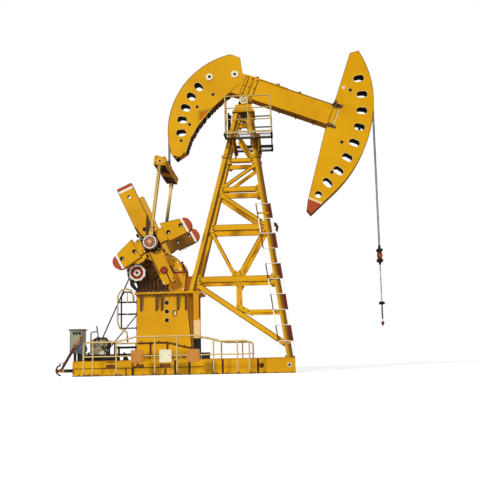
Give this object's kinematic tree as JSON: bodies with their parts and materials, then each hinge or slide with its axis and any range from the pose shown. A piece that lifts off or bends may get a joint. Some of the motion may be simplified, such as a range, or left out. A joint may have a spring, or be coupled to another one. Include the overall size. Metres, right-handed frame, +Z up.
{
  "type": "pumpjack",
  "caption": "Oil-well beam pumping unit with front and rear arc heads, lattice tower, crank drive with counterweights, gearbox, motor, rails and ladders on a skid base.",
  "frame": {"origin": "on the ground under the cross member straight below the saddle pivot, on the centre plane", "axes": "+X along the machine toward the well, +Z up, +Y to the left when looking toward the well"},
  "size_m": [8.635, 2.652, 8.8011],
  "materials": {
    "yellow_paint": "satin",
    "red_paint": "satin",
    "pale_paint": "satin",
    "grey_paint": "satin",
    "dark_iron": "matte",
    "belt_rubber": "matte",
    "wire_rope": "greased",
    "bright_steel": "bright"
  },
  "bodies": {
    "root": {"base_beams": "yellow_paint", "base_cross_members": "yellow_paint", "base_deck": "yellow_paint", "pedestal": "yellow_paint", "pedestal_top": "yellow_paint", "rear_posts": "yellow_paint", "tower_legs": "yellow_paint", "tower_crossbars": "yellow_paint", "tower_braces": "yellow_paint", "tower_ties": "yellow_paint", "tower_cap": "yellow_paint", "saddle": "yellow_paint", "platform_brackets": "yellow_paint", "platform_decks": "yellow_paint", "platform_rails": "yellow_paint", "tower_ladder": "red_paint", "gearbox": "yellow_paint", "brake_drum": "red_paint", "driven_sheave": "dark_iron", "drive_belts": "belt_rubber", "motor_sheave": "dark_iron", "motor": "grey_paint", "motor_seat": "dark_iron", "control_cabinet": "grey_paint", "brake_quadrant": "red_paint", "pedestal_ladder": "pale_paint", "guard_rails": "pale_paint", "guard_rail_feet": "pale_paint", "sign_plates": "grey_paint", "hanging_ropes": "wire_rope"},
    "crank": {"crank_shaft": "red_paint", "cranks": "yellow_paint", "counterweights": "yellow_paint", "wrist_pins": "pale_paint"},
    "pitman": {"pitmans": "yellow_paint", "equaliser": "yellow_paint", "rear_rope_tail": "wire_rope"},
    "beam": {"walking_beam": "yellow_paint", "beam_bearing": "yellow_paint", "front_head": "yellow_paint", "rear_head": "yellow_paint", "wrapped_ropes": "wire_rope"},
    "carrier": {"carrier_bar": "red_paint", "polished_rod": "bright_steel"},
    "brake_lever": {"brake_lever": "red_paint"}
  },
  "joints": [
    {"name": "crank_turn", "type": "hinge", "parent": "root", "child": "crank", "pos_m": [-2.14, 0, 2.69], "axis": [0, -1, 0], "range_deg": [0, 155]},
    {"name": "pitman_swing", "type": "hinge", "parent": "crank", "child": "pitman", "pos_m": [-2.4781, 0, 3.41505], "axis": [0, -1, 0], "range_deg": [-161, 0]},
    {"name": "beam_rock", "type": "hinge", "parent": "root", "child": "beam", "pos_m": [0, 0, 7.42], "axis": [0, -1, 0], "range_deg": [0, 48.5]},
    {"name": "carrier_lift", "type": "slide", "parent": "root", "child": "carrier", "axis": [0, 0, 1], "range_m": [0, 3], "deforming": ["hanging_ropes"]},
    {"name": "brake_lever_swing", "type": "hinge", "parent": "root", "child": "brake_lever", "pos_m": [-4.85, -0.8, 0.17], "axis": [0, -1, 0], "range_deg": [0, 40]}
  ],
  "couplings": [
    {"joint": "pitman_swing", "follows": "crank_turn", "ratio": -1.035},
    {"joint": "beam_rock", "follows": "crank_turn", "ratio": 0.31},
    {"joint": "carrier_lift", "follows": "crank_turn", "m_per_rad": 1.102}
  ]
}
